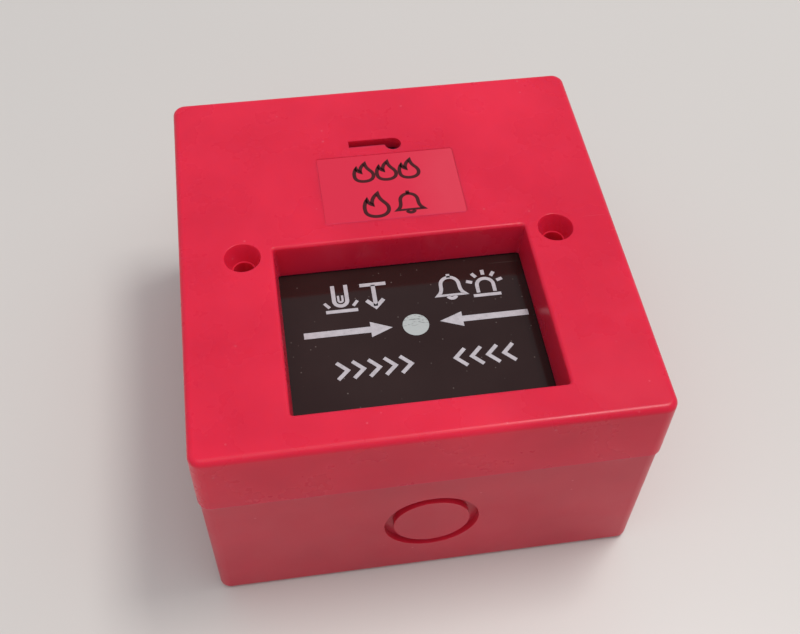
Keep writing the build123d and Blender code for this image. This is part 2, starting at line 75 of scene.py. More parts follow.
# %% [markdown]
# ## A small vocabulary for materials
# Each finish below is one Principled shader with a few patterns feeding it. Writing the node calls out in
# full each time would hide what differs, so short helpers make a material, place a node and link a
# pattern. Every pattern reads Object coordinates, because each piece sits at the origin with its place in
# its mesh, so a millimetre of pattern is a millimetre of plastic.

# %% Helpers for materials
def new_material(name, color, roughness, metallic=0.0, **sockets):
    """A material with one Principled shader, returned with that shader and its coordinates."""
    material = bpy.data.materials.new(name)
    material.use_nodes = True
    shader = material.node_tree.nodes["Principled BSDF"]
    shader.inputs["Base Color"].default_value = (*color, 1.0)
    shader.inputs["Roughness"].default_value = roughness
    shader.inputs["Metallic"].default_value = metallic
    for socket, value in sockets.items():
        shader.inputs[socket.replace("_", " ")].default_value = value
    coordinates = material.node_tree.nodes.new("ShaderNodeTexCoord")
    return material, shader, coordinates.outputs["Object"]


def add_node(material, kind, inputs=None, **settings):
    """A node of this kind, with its settings, and its inputs linked or set by name."""
    tree = material.node_tree
    node = tree.nodes.new(kind)
    for name, value in settings.items():
        setattr(node, name, value)
    for name, value in (inputs or {}).items():
        if isinstance(value, bpy.types.NodeSocket):
            tree.links.new(value, node.inputs[name])
        else:
            node.inputs[name].default_value = value
    return node


def pattern_noise(material, place, scale, detail=3.0, roughness=0.55):
    inputs = {"Vector": place, "Scale": scale, "Detail": detail, "Roughness": roughness}
    return add_node(material, "ShaderNodeTexNoise", inputs).outputs["Fac"]


def between(material, value, low, high, to_low=0.0, to_high=1.0):
    """The value's range from low to high, stretched to a new range and held at its ends."""
    inputs = {"Value": value, "From Min": low, "From Max": high, "To Min": to_low, "To Max": to_high}
    return add_node(material, "ShaderNodeMapRange", inputs).outputs["Result"]


def multiply(material, a, b):
    return add_node(material, "ShaderNodeMath", {0: a, 1: b}, operation="MULTIPLY").outputs[0]


def add_up(material, a, b):
    return add_node(material, "ShaderNodeMath", {0: a, 1: b}, operation="ADD").outputs[0]


def mix_color(material, factor, a, b):
    inputs = {"Factor": factor, "A": a, "B": b}
    node = add_node(material, "ShaderNodeMix", None, data_type="RGBA")
    for name, value in inputs.items():
        socket = [s for s in node.inputs if s.name == name and s.enabled][0]
        if isinstance(value, bpy.types.NodeSocket):
            material.node_tree.links.new(value, socket)
        else:
            socket.default_value = value if name == "Factor" else (*value, 1.0)
    return [s for s in node.outputs if s.enabled][0]


def feed(material, output, shader, socket):
    material.node_tree.links.new(output, shader.inputs[socket])


def bump(material, height, distance, strength=1.0, under=None):
    inputs = {"Height": height, "Distance": distance, "Strength": strength}
    if under is not None:
        inputs["Normal"] = under
    return add_node(material, "ShaderNodeBump", inputs).outputs["Normal"]


print("helpers ready")

# %% [markdown]
# ## Scuffs and dust
# Handled plastic is never clean. Two marks matter at this size. Scuffs are long hair lines that run one
# way for a few millimetres and stop; a noise squeezed hard along one direction gives bundles of lines, and
# a second, broad noise switches most of them off. Dust is small round specks of different sizes, which is
# what a Voronoi pattern gives when only the very middles of its cells are kept.

# %% Scuffs and dust as patterns
def scuffs(material, place, angle, density, seed):
    """Thin broken lines at an angle in the face's plane: 1 on a line, 0 elsewhere."""
    turned = add_node(material, "ShaderNodeMapping", {"Vector": place})
    turned.inputs["Rotation"].default_value = (0.0, 0.0, math.radians(angle))
    turned.inputs["Location"].default_value = (seed * 0.37, seed * 0.11, seed * 0.23)
    turned.inputs["Scale"].default_value = (40.0, 2400.0, 40.0)
    lines = pattern_noise(material, turned.outputs["Vector"], 1.0, 1.0)
    lines = between(material, lines, 0.725, 0.76)
    patches = pattern_noise(material, place, 55.0 + seed, 2.0)
    return multiply(material, lines, between(material, patches, density, density + 0.06))


def dust(material, place, scale, size):
    """Specks: 1 in the middle of some cells, falling to 0 at their edge."""
    cells = add_node(material, "ShaderNodeTexVoronoi", {"Vector": place, "Scale": scale})
    speck = between(material, cells.outputs["Distance"], size, size * 0.4)
    split = add_node(material, "ShaderNodeSeparateColor", {"Color": cells.outputs["Color"]})
    chosen = between(material, split.outputs["Red"], 0.80, 0.84)
    return multiply(material, speck, chosen)


print("scuffs run 2 to 25 mm, dust specks are under 0.2 mm")

# %% [markdown]
# ## The red plastic
# The cover and the box are both ABS, moulded against polished steel and then handled. The colour is a
# slightly pink signal red. It is glossy enough to draw a bright line along every rounded edge, but the
# flats only show a broad, soft sheen, so the roughness is middling and wanders a little. Very faint
# ripples, a few millimetres across, keep the flats from looking like glass. A little light also travels
# inside the plastic and lifts the walls of the window and the holes, which subsurface scattering gives.
# The box gets the same recipe, duller and a shade darker, with a paler reflection of the table.

# %% Red plastic
GLOW_DEPTH = 4.0 * MM
GLOW_REACH = (1.0, 0.25, 0.20)
DUSTY_RED = (0.80, 0.22, 0.27)


def red_plastic(name, color, roughness, seed, shine):
    material, shader, place = new_material(name, color, roughness, Specular_IOR_Level=shine,
                                           Subsurface_Weight=0.5, Subsurface_Scale=GLOW_DEPTH)
    shader.inputs["Subsurface Radius"].default_value = GLOW_REACH
    cloud = pattern_noise(material, place, 32.0, 3.0)
    deep = tuple(c * 0.90 for c in color)
    light = tuple(min(1.0, c * 1.06 + 0.004) for c in color)
    base = mix_color(material, between(material, cloud, 0.35, 0.65), deep, light)
    marks = add_up(material, scuffs(material, place, 24.0, 0.60, seed),
                   scuffs(material, place, 71.0, 0.62, seed + 3))
    specks = dust(material, place, 330.0, 0.10)
    base = mix_color(material, multiply(material, marks, 0.08), base, DUSTY_RED)
    base = mix_color(material, multiply(material, specks, 0.40), base, DUSTY_RED)
    feed(material, base, shader, "Base Color")
    sheen = between(material, pattern_noise(material, place, 90.0, 4.0), 0.3, 0.7,
                    roughness - 0.05, roughness + 0.07)
    feed(material, add_up(material, sheen, multiply(material, marks, 0.15)), shader, "Roughness")
    ripple = bump(material, pattern_noise(material, place, 140.0, 2.0), 0.00006, 0.35)
    grain = bump(material, pattern_noise(material, place, 5200.0, 2.0), 0.000006, 0.5, ripple)
    feed(material, bump(material, marks, 0.00001, -0.12, grain), shader, "Normal")
    return material


cover_red = red_plastic("cover red plastic", (0.71, 0.015, 0.052), 0.28, 1, 0.24)
case_red = red_plastic("case red plastic", (0.58, 0.016, 0.045), 0.34, 7, 0.45)
print("red plastic on the cover and the box")

# %% [markdown]
# ## The other mouldings
# Inside, nothing was made to be looked at. The mechanism plate, the carrier and the switch are black
# glass-filled nylon, which comes out of the mould with a dull, slightly sandy skin. The latch is natural
# acetal, milky and waxy, and the terminal block is green.

# %% Inner plastics
def inner_plastic(name, color, roughness, grain=2600.0, depth=0.00002):
    material, shader, place = new_material(name, color, roughness)
    cloud = pattern_noise(material, place, 120.0, 4.0)
    lighter = tuple(min(1.0, c * 1.3 + 0.006) for c in color)
    base = mix_color(material, between(material, cloud, 0.3, 0.7), color, lighter)
    feed(material, base, shader, "Base Color")
    fine = pattern_noise(material, place, grain, 3.0)
    feed(material, between(material, fine, 0.3, 0.7, roughness - 0.06, roughness + 0.08), shader, "Roughness")
    feed(material, bump(material, fine, depth, 0.6), shader, "Normal")
    return material


mechanism_black = inner_plastic("mechanism black nylon", (0.018, 0.018, 0.020), 0.52)
switch_black = inner_plastic("switch black", (0.012, 0.012, 0.013), 0.40, 3600.0, 0.00001)
latch_acetal = inner_plastic("latch acetal", (0.66, 0.64, 0.57), 0.36, 1800.0, 0.000008)
terminal_green = inner_plastic("terminal green", (0.020, 0.17, 0.075), 0.42)
plunger_red = inner_plastic("plunger red", (0.55, 0.035, 0.025), 0.35, 3600.0, 0.000006)
print("five inner plastics")

# %% [markdown]
# ## Metals
# Zinc-plated screws are bluish grey with a cloudy, fine-crystalled skin; brass inserts carry turning
# marks; spring wire is drawn, so it is smooth with fine streaks. One function does all of them: a tint
# that wanders, a roughness that wanders with it, and a fine bump.

# %% Metals
def metal(name, color, tint, roughness, streak=(1.0, 1.0, 1.0)):
    material, shader, place = new_material(name, color, roughness, 1.0)
    stretched = add_node(material, "ShaderNodeMapping", {"Vector": place})
    stretched.inputs["Scale"].default_value = streak
    skin = pattern_noise(material, stretched.outputs["Vector"], 900.0, 4.0)
    base = mix_color(material, between(material, skin, 0.35, 0.65), color, tint)
    feed(material, base, shader, "Base Color")
    feed(material, between(material, skin, 0.3, 0.7, roughness - 0.08, roughness + 0.10), shader, "Roughness")
    feed(material, bump(material, skin, 0.000008, 0.5), shader, "Normal")
    return material


zinc = metal("zinc plated steel", (0.60, 0.61, 0.63), (0.50, 0.52, 0.56), 0.30)
brass = metal("turned brass", (0.78, 0.55, 0.22), (0.66, 0.44, 0.16), 0.28, (1.0, 1.0, 6.0))
spring_steel = metal("drawn spring steel", (0.50, 0.50, 0.52), (0.40, 0.40, 0.42), 0.25)
bright_strip = metal("bright steel strip", (0.68, 0.68, 0.68), (0.58, 0.58, 0.60), 0.22, (0.2, 3.0, 1.0))
solder = metal("solder", (0.62, 0.63, 0.65), (0.52, 0.53, 0.56), 0.24)
print("five metals")

# %% [markdown]
# ## The printed film on the panel
# The panel is covered by a clear film printed on its back in a very dark brown. Seen from above it is
# glossy, so it takes a faint reflection of the red walls around it, and fine dust lies on it. One smooth,
# very dark surface is enough. The print that lies on it is dull, with pinholes where it has worn.

# %% Legend film and inks
def legend_film():
    color = (0.020, 0.0075, 0.0070)
    material, shader, place = new_material("legend film", color, 0.10, Specular_IOR_Level=0.28)
    cloud = pattern_noise(material, place, 45.0, 4.0)
    base = mix_color(material, between(material, cloud, 0.3, 0.7), color, (0.028, 0.013, 0.012))
    specks = add_up(material, dust(material, place, 900.0, 0.15), dust(material, place, 430.0, 0.08))
    haze = scuffs(material, place, 12.0, 0.57, 5)
    dirt = add_up(material, multiply(material, specks, 0.28), multiply(material, haze, 0.05))
    feed(material, mix_color(material, dirt, base, (0.42, 0.36, 0.32)), shader, "Base Color")
    ripple = bump(material, pattern_noise(material, place, 60.0, 2.0), 0.00008, 0.25)
    feed(material, bump(material, specks, 0.00002, 0.5, ripple), shader, "Normal")
    return material


film_dark = legend_film()


def print_ink(name, color, worn, seed):
    """Screen-printed ink: nearly flat, slightly mottled, with pinholes where it has worn."""
    material, shader, place = new_material(name, color, 0.42, Specular_IOR_Level=0.25)
    mottle = pattern_noise(material, place, 700.0 + seed, 4.0)
    thin = tuple(c * 0.86 for c in color)
    base = mix_color(material, between(material, mottle, 0.38, 0.62), color, thin)
    holes = between(material, pattern_noise(material, place, 2600.0 + seed, 2.0), 0.66, 0.72)
    base = mix_color(material, multiply(material, holes, worn), base, (0.05, 0.04, 0.04))
    feed(material, base, shader, "Base Color")
    feed(material, bump(material, mottle, 0.00001, 0.4), shader, "Normal")
    return material


pale_ink = print_ink("pale ink", (0.52, 0.49, 0.52), 0.35, 0.0)
dark_ink = print_ink("dark ink", (0.060, 0.004, 0.007), 0.0, 40.0)
print("film and two inks")

# %% [markdown]
# ## The label film on the face
# The label is a clear sticker let into a shallow step in the face. It shows only because it is glossier
# than the plastic around it and a touch pinker towards its right end, where a painted sheen stands in for the
# light it reflects.

# %% Label film
def label_film():
    color = (0.66, 0.015, 0.050)
    material, shader, place = new_material("label film", color, 0.20, Specular_IOR_Level=0.48)
    split = add_node(material, "ShaderNodeSeparateXYZ", {"Vector": place})
    low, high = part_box("title_label")
    along = between(material, split.outputs["X"], low.x, high.x)
    cloud = pattern_noise(material, place, 60.0, 3.0)
    # painted sheen: the colour turns pinker towards the right end, in place of reflected light
    painted_sheen = multiply(material, between(material, add_up(material, along, cloud), 1.0, 1.45), 0.5)
    feed(material, mix_color(material, painted_sheen, color, (0.69, 0.050, 0.085)), shader, "Base Color")
    feed(material, bump(material, cloud, 0.00005, 0.2), shader, "Normal")
    return material


label_clear = label_film()
print("label film")

# %% [markdown]
# ## The board, the resistors and the diode
# Solder mask is a green lacquer over copper, so the tracks show as slightly lighter, raised bands. A brick
# pattern would look like a wall, so the tracks come from a coarse Voronoi measured square-wise, which
# gives right-angled runs. The resistors carry four coloured bands and the diode one pale band, placed by
# their distance along X from the body's middle.

# %% Board, resistor and diode finishes
def solder_mask():
    color = (0.008, 0.085, 0.036)
    material, shader, place = new_material("green solder mask", color, 0.28,
                                           Coat_Weight=0.4, Coat_Roughness=0.1)
    cells = add_node(material, "ShaderNodeTexVoronoi", {"Vector": place, "Scale": 190.0},
                     distance="CHEBYCHEV", feature="F2")
    tracks = between(material, cells.outputs["Distance"], 0.60, 0.66)
    feed(material, mix_color(material, tracks, color, (0.018, 0.15, 0.060)), shader, "Base Color")
    feed(material, bump(material, tracks, 0.00004, 0.6), shader, "Normal")
    return material


def banded(name, ground, bands, middle, roughness=0.35):
    """Lacquer with rings of colour, each an offset from the middle and a half width in mm, and a colour."""
    material, shader, place = new_material(name, ground, roughness)
    x = add_node(material, "ShaderNodeSeparateXYZ", {"Vector": place}).outputs["X"]
    color = ground
    for offset, half, ring in bands:
        away = add_node(material, "ShaderNodeMath", {0: x, 1: middle + offset * MM}, operation="SUBTRACT")
        away = add_node(material, "ShaderNodeMath", {0: away.outputs[0]}, operation="ABSOLUTE")
        inside = between(material, away.outputs[0], (half + 0.03) * MM, (half - 0.03) * MM)
        color = mix_color(material, inside, color, ring)
    feed(material, color, shader, "Base Color")
    lumps = pattern_noise(material, place, 500.0, 2.0)
    feed(material, bump(material, lumps, 0.00003, 0.4), shader, "Normal")
    return material


def middle_x(node):
    low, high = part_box(node)
    return (low.x + high.x) / 2


board_green = solder_mask()
resistor_rings = [(-2.2, 0.32, (0.30, 0.09, 0.02)), (-1.1, 0.32, (0.01, 0.01, 0.01)),
                  (0.0, 0.32, (0.62, 0.03, 0.02)), (2.1, 0.32, (0.55, 0.36, 0.08))]
resistor_beige = banded("resistor lacquer", (0.62, 0.46, 0.26), resistor_rings, middle_x("resistors"))
diode_ring = [(1.7, 0.35, (0.55, 0.55, 0.55))]
diode_black = banded("diode case", (0.015, 0.015, 0.016), diode_ring, middle_x("diode"))
print("board and its parts")

# %% [markdown]
# ## Putting the finishes on the solid parts
# A solid part whose shape is right keeps its mesh and only gets a better finish in its material slot.

# %% Finishes for the carried-over parts
FINISHES = {
    "front_cover": cover_red,
    "key_cam": switch_black,
    "back_box": case_red,
    "title_label": label_clear,
    "legend_film": film_dark,
    "press_panel": mechanism_black,
    "panel_carrier": mechanism_black,
    "mechanism_plate": mechanism_black,
    "cam_retainer": mechanism_black,
    "latch_slider": latch_acetal,
    "microswitch_body": switch_black,
    "switch_plunger": plunger_red,
    "switch_lever": bright_strip,
    "lever_pin": bright_strip,
    "switch_pins": bright_strip,
    "circuit_board": board_green,
    "terminal_block": terminal_green,
    "terminal_cages": zinc,
    "terminal_screws": zinc,
    "board_screws": zinc,
    "plate_screws": zinc,
    "retainer_screws": zinc,
    "threaded_inserts": brass,
    "resistors": resistor_beige,
    "diode": diode_black,
}
for name, material in FINISHES.items():
    nodes[name].data.materials.clear()
    nodes[name].data.materials.append(material)
print(len(FINISHES), "solid parts finished")

# %% [markdown]
# ## Drawing with ink
# The signs on the film and the label are flat shapes with a real, very small thickness. A shape is a list
# of closed outlines in millimetres. Lines of even width are outlines too, so one helper turns a pen stroke
# into an outline, with mitred corners, and others give arcs and smooth curves to feed it.

# %% Pen strokes and curves
def arc(cx, cy, r, start, end, count=16):
    turns = [math.radians(start + (end - start) * i / count) for i in range(count + 1)]
    return [(cx + r * math.cos(t), cy + r * math.sin(t)) for t in turns]


def curve(a, b, c, d, count=9):
    """Points of a cubic Bezier curve, without its first point."""
    points = []
    for i in range(1, count + 1):
        t = i / count
        weights = ((1 - t) ** 3, 3 * t * (1 - t) ** 2, 3 * t * t * (1 - t), t ** 3)
        points.append(tuple(sum(w * p[k] for w, p in zip(weights, (a, b, c, d))) for k in (0, 1)))
    return points


def side_line(points, offset, closed):
    """The points moved sideways by offset, meeting in a mitre at each corner."""
    count = len(points)
    moved = []
    for i, (x, y) in enumerate(points):
        here = Vector((x, y))
        before = Vector(points[i - 1]) if closed or i else None
        after = Vector(points[(i + 1) % count]) if closed or i < count - 1 else None
        ways = [d.normalized() for d in ((here - before) if before is not None else None,
                                         (after - here) if after is not None else None) if d is not None]
        way = sum(ways, Vector((0, 0))).normalized()
        normal = Vector((-way.y, way.x))
        stretch = 1 / max(0.5, normal.dot(Vector((-ways[0].y, ways[0].x))))
        moved.append(tuple(here + normal * offset * stretch))
    return moved


def stroke(points, width, closed=False):
    """A pen line: one outline, or an outer and an inner one where it closes on itself."""
    left = side_line(points, width / 2, closed)
    right = side_line(points, -width / 2, closed)
    if not closed:
        return [(left + right[::-1], [])]
    area = sum(a[0] * b[1] - b[0] * a[1] for a, b in zip(points, points[1:] + points[:1]))
    outer, inner = (right, left) if area > 0 else (left, right)
    return [(outer, inner)]


def filled(points):
    return [(points, [])]


print("a pen of 0.7 mm draws", len(stroke([(0, 0), (1, 0)], 0.7)), "outline for an open line")

# %% [markdown]
# An outline becomes a thin plate in two steps. A plain outline is one many-sided face. A ring is a band of
# quads between its outer and its inner line, which is why both have the same number of points. Either way
# the face is then pushed up by the ink's thickness, and the back is kept so that each sign is closed.

# %% Ink plates from outlines
def put_in_scene(name, data):
    piece = bpy.data.objects.new(name, data)
    bpy.context.scene.collection.objects.link(piece)
    return piece


def piece_from(name, mesh, material=None):
    """Turns a finished bmesh into an object, and frees it."""
    data = bpy.data.meshes.new(name)
    mesh.to_mesh(data)
    mesh.free()
    if material is not None:
        data.materials.append(material)
    return put_in_scene(name, data)


def ink_mesh(name, shapes, height, material):
    """One closed mesh from shapes in millimetres, its underside at height."""
    mesh = bmesh.new()
    for outer, inner in shapes:
        bottom = [mesh.verts.new((x * MM, y * MM, height)) for x, y in outer]
        if inner:
            second = [mesh.verts.new((x * MM, y * MM, height)) for x, y in inner]
            sides = zip(bottom, bottom[1:] + bottom[:1], second[1:] + second[:1], second)
            faces = [mesh.faces.new(side) for side in sides]
        else:
            faces = [mesh.faces.new(bottom)]
        bmesh.ops.recalc_face_normals(mesh, faces=faces)
        painted_sheen = bmesh.ops.extrude_face_region(mesh, geom=faces, use_keep_orig=True)["geom"]
        top = [v for v in painted_sheen if isinstance(v, bmesh.types.BMVert)]
        bmesh.ops.translate(mesh, verts=top, vec=(0, 0, INK))
    bmesh.ops.triangulate(mesh, faces=[f for f in mesh.faces if len(f.verts) > 4])
    bmesh.ops.recalc_face_normals(mesh, faces=mesh.faces)
    return piece_from(name, mesh, material)


def place(points, at, size):
    """Points drawn in a unit square, moved and scaled to their place in millimetres."""
    return [(at[0] + x * size, at[1] + y * size) for x, y in points]


print("ink plates are", round(INK / MM, 3), "mm thick")

# %% [markdown]
# ## The signs
# The real panel explains itself in words. Words belong to one country and one maker, so here plain
# pictures say the same: a flame for fire, a bell and a beacon for the alarm, and a finger and an arrow
# for pressing. Each is drawn with nearly one pen width, about as heavy as the print it stands for.

# %% Flame
def flame(at, height, pen):
    start, right, tip = (0.0, 0.0), (0.38, 0.32), (0.10, 1.0)
    notch, lobe, left = (-0.12, 0.52), (-0.27, 0.76), (-0.38, 0.30)
    line = curve(start, (0.24, 0.0), (0.38, 0.14), right)
    line += curve(right, (0.38, 0.58), (0.12, 0.62), tip)
    line += curve(tip, (-0.06, 0.86), (-0.14, 0.70), notch)
    line += curve(notch, (-0.20, 0.56), (-0.26, 0.64), lobe)
    line += curve(lobe, (-0.36, 0.60), (-0.40, 0.46), left)
    line += curve(left, (-0.38, 0.12), (-0.24, 0.0), start)
    return stroke(place(line, at, height), pen, closed=True)


# %% Bell, beacon, finger and down arrow
def bell(at, size, pen):
    dome = [(-0.42, 0.20)] + curve((-0.42, 0.20), (-0.26, 0.32), (-0.28, 0.46), (-0.27, 0.60), 6)
    dome += arc(0.0, 0.60, 0.27, 180, 0, 14)[1:]
    dome += curve((0.27, 0.60), (0.28, 0.46), (0.26, 0.32), (0.42, 0.20), 6)
    shapes = stroke(place(dome, at, size), pen, closed=True)
    shapes += stroke(place(arc(0.0, 0.20, 0.13, 200, 340, 8), at, size), pen)
    shapes += stroke(place([(0.0, 0.86), (0.0, 1.0)], at, size), pen)
    return shapes


def beacon(at, size, pen):
    lamp = [(-0.24, 0.16)] + arc(0.0, 0.42, 0.24, 180, 0, 14) + [(0.24, 0.16)]
    shapes = stroke(place(lamp, at, size), pen)
    shapes += stroke(place([(-0.40, 0.06), (0.40, 0.06)], at, size), pen)
    for angle in (20, 55, 90, 125, 160):
        way = Vector((math.cos(math.radians(angle)), math.sin(math.radians(angle))))
        ray = [tuple(Vector((0.0, 0.42)) + way * reach) for reach in (0.38, 0.56)]
        shapes += stroke(place(ray, at, size), pen)
    return shapes


def finger(at, size, pen):
    tip = [(-0.19, 1.0), *arc(0.0, 0.43, 0.19, 180, 360, 14), (0.19, 1.0)]
    nail = [(-0.06, 0.62), *arc(0.0, 0.44, 0.06, 180, 360, 8), (0.06, 0.62)]
    shapes = stroke(place(tip, at, size), pen)
    shapes += stroke(place(nail, at, size), pen * 0.55)
    shapes += stroke(place([(-0.46, 0.05), (0.46, 0.05)], at, size), pen)
    for side in (-1, 1):
        shapes += stroke(place([(side * 0.34, 0.20), (side * 0.48, 0.38)], at, size), pen * 0.8)
    return shapes


def down_arrow(at, size, pen):
    shapes = stroke(place([(-0.40, 0.94), (0.40, 0.94)], at, size), pen)
    shapes += stroke(place([(0.0, 0.92), (0.0, 0.10)], at, size), pen)
    shapes += stroke(place([(-0.26, 0.34), (0.0, 0.06), (0.26, 0.34)], at, size), pen)
    return shapes


print("five pictures in the box of signs")

# %% [markdown]
# ## The panel's print
# The two arrows and the round target are the heart of the panel. The arrows are nearly the same length,
# and both stop just short of the target, as printed.

# %% Arrows and target
TARGET = (0.87, -15.0)
TARGET_R = 2.6


def arrow(tail, neck, tip, middle, shaft, head):
    """A block arrow lying along X, from its tail to its tip."""
    half, barb = shaft / 2, head / 2
    return filled([(tail, middle - half), (neck, middle - half), (neck, middle - barb), (tip, middle),
                   (neck, middle + barb), (neck, middle + half), (tail, middle + half)])


panel_arrows = ink_mesh(
    "panel_arrows",
    arrow(-21.05, -8.0, -3.7, -15.02, 1.45, 3.75) + arrow(23.4, 10.25, 5.7, -14.75, 1.40, 3.65),
    film_top, pale_ink)


def target_finish():
    """The target's ink is a little greener, with short dark dashes worn into its upper half."""
    color = (0.43, 0.46, 0.45)
    material, shader, spot = new_material("target ink", color, 0.36)
    squeezed = add_node(material, "ShaderNodeMapping", {"Vector": spot})
    squeezed.inputs["Scale"].default_value = (0.45, 1.7, 1.0)
    rows = pattern_noise(material, squeezed.outputs["Vector"], 1700.0, 2.0)
    y = add_node(material, "ShaderNodeSeparateXYZ", {"Vector": spot}).outputs["Y"]
    upper = between(material, y, (TARGET[1] - 0.6) * MM, (TARGET[1] + 0.5) * MM)
    worn = multiply(material, between(material, rows, 0.54, 0.62), multiply(material, upper, 0.75))
    feed(material, mix_color(material, worn, color, (0.10, 0.10, 0.10)), shader, "Base Color")
    feed(material, bump(material, rows, 0.00002, -0.5), shader, "Normal")
    return material


disc = filled(arc(*TARGET, TARGET_R, 0, 352.5, 47))
panel_target = ink_mesh("panel_target", disc, film_top, target_finish())
print("arrows and target printed")

# %% [markdown]
# Under the arrows, two rows of chevrons stand where the words were. A row is one chevron repeated at an
# even pitch, which is exactly what Geometry Nodes are for: a Mesh Line of points, an instance on each, made
# real at the end. The tree is built once with named inputs and used for both rows.

# %% A row of one sign, as a node tree
def open_tree(name, inputs):
    """A node tree with geometry in and out, and these inputs: a name and a socket type each."""
    tree = bpy.data.node_groups.new(name, "GeometryNodeTree")
    tree.interface.new_socket("Geometry", in_out="INPUT", socket_type="NodeSocketGeometry")
    for label, kind in inputs.items():
        tree.interface.new_socket(label, in_out="INPUT", socket_type="NodeSocket" + kind)
    tree.interface.new_socket("Geometry", in_out="OUTPUT", socket_type="NodeSocketGeometry")
    return tree, tree.nodes.new("NodeGroupInput").outputs


def close_tree(tree, geometry, finish):
    """Ends a tree: instances made real, the material set, and the result sent out."""
    real = tree.nodes.new("GeometryNodeRealizeInstances")
    paint = tree.nodes.new("GeometryNodeSetMaterial")
    out = tree.nodes.new("NodeGroupOutput")
    tree.links.new(geometry, real.inputs["Geometry"])
    tree.links.new(real.outputs["Geometry"], paint.inputs["Geometry"])
    tree.links.new(finish, paint.inputs["Material"])
    tree.links.new(paint.outputs["Geometry"], out.inputs["Geometry"])
    return tree


def row_tree():
    tree, given = open_tree("row of one sign", {"Count": "Int", "Pitch": "Vector", "Finish": "Material"})
    line = tree.nodes.new("GeometryNodeMeshLine")
    line.mode = "OFFSET"
    copies = tree.nodes.new("GeometryNodeInstanceOnPoints")
    tree.links.new(given["Count"], line.inputs["Count"])
    tree.links.new(given["Pitch"], line.inputs["Offset"])
    tree.links.new(line.outputs["Mesh"], copies.inputs["Points"])
    tree.links.new(given["Geometry"], copies.inputs["Instance"])
    return close_tree(tree, copies.outputs["Instances"], given["Finish"])


def bake_nodes(piece, tree, values):
    """Runs a node tree on a piece with these input values, and leaves a plain mesh."""
    modifier = piece.modifiers.new(tree.name, "NODES")
    modifier.node_group = tree
    for item in tree.interface.items_tree:
        if item.in_out == "INPUT" and item.name in values:
            modifier[item.identifier] = values[item.name]
    bpy.context.view_layer.update()
    finished = piece.evaluated_get(bpy.context.evaluated_depsgraph_get())
    result = bpy.data.meshes.new_from_object(finished)
    piece.modifiers.clear()
    piece.data = result
    return piece


ROW = row_tree()


CHEVRON_W = 2.0
CHEVRON_PEN = 0.78


def in_a_row(piece, count, pitch, ink):
    return bake_nodes(piece, ROW, {"Count": count, "Pitch": (pitch * MM, 0.0, 0.0), "Finish": ink})


def chevron_row(name, left, low, high, pitch, count, way):
    """Chevrons between two heights, the first one's left edge at left, pointing right or left."""
    near, far = (left, left + CHEVRON_W) if way > 0 else (left + CHEVRON_W, left)
    line = [(near, high), (far, (low + high) / 2), (near, low)]
    piece = ink_mesh(name, stroke(line, CHEVRON_PEN), film_top, pale_ink)
    return in_a_row(piece, count, pitch, pale_ink)


chevrons_left = chevron_row("panel_chevrons_left", -15.6, -26.0, -22.1, 3.05, 5, 1)
chevrons_right = chevron_row("panel_chevrons_right", 7.2, -25.9, -21.9, 3.15, 4, -1)
print("chevron rows:", len(chevrons_left.data.polygons), "and", len(chevrons_right.data.polygons), "faces")

# %% [markdown]
# Over the arrows go the pictures: the finger and the arrow that say press, the bell and the beacon that
# say alarm. The label on the face repeats the story in dark ink: three small flames over a larger one
# and a bell.

# %% Pictures on the panel and on the label
panel_signs = ink_mesh(
    "panel_signs",
    finger((-13.0, -10.1), 6.9, 0.80) + down_arrow((-6.2, -10.0), 6.6, 0.84)
    + bell((9.2, -9.9), 6.8, 0.74) + beacon((16.3, -9.8), 7.0, 0.74),
    film_top, pale_ink)

small_flame = ink_mesh("label_flames", flame((-4.9, 17.2), 5.2, 0.78), label_top, dark_ink)
label_flames = in_a_row(small_flame, 3, 4.75, dark_ink)
label_signs = ink_mesh(
    "label_signs",
    flame((-3.5, 7.1), 6.4, 0.80) + bell((3.3, 6.9), 6.6, 0.76),
    label_top, dark_ink)

for piece in (panel_arrows, panel_target, chevrons_left, chevrons_right, panel_signs):
    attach(piece, "press_unit")
for piece in (label_flames, label_signs):
    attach(piece, "cover")
print("signs printed on the panel and the label")

# %% [markdown]
# ## Springs
# A compression spring is a helix whose last turn at each end lies nearly flat, so that it stands square.
# The node tree below takes a straight Mesh Line of points, winds each point round the axis by its turn
# number, closes the pitch at both ends with a smooth step, and sweeps a round wire along it. The solid
# model's springs are rigid, so these stand for them instead.

# %% Spring node tree
SPRING_POINTS = 181
WIRE_SIDES = 12


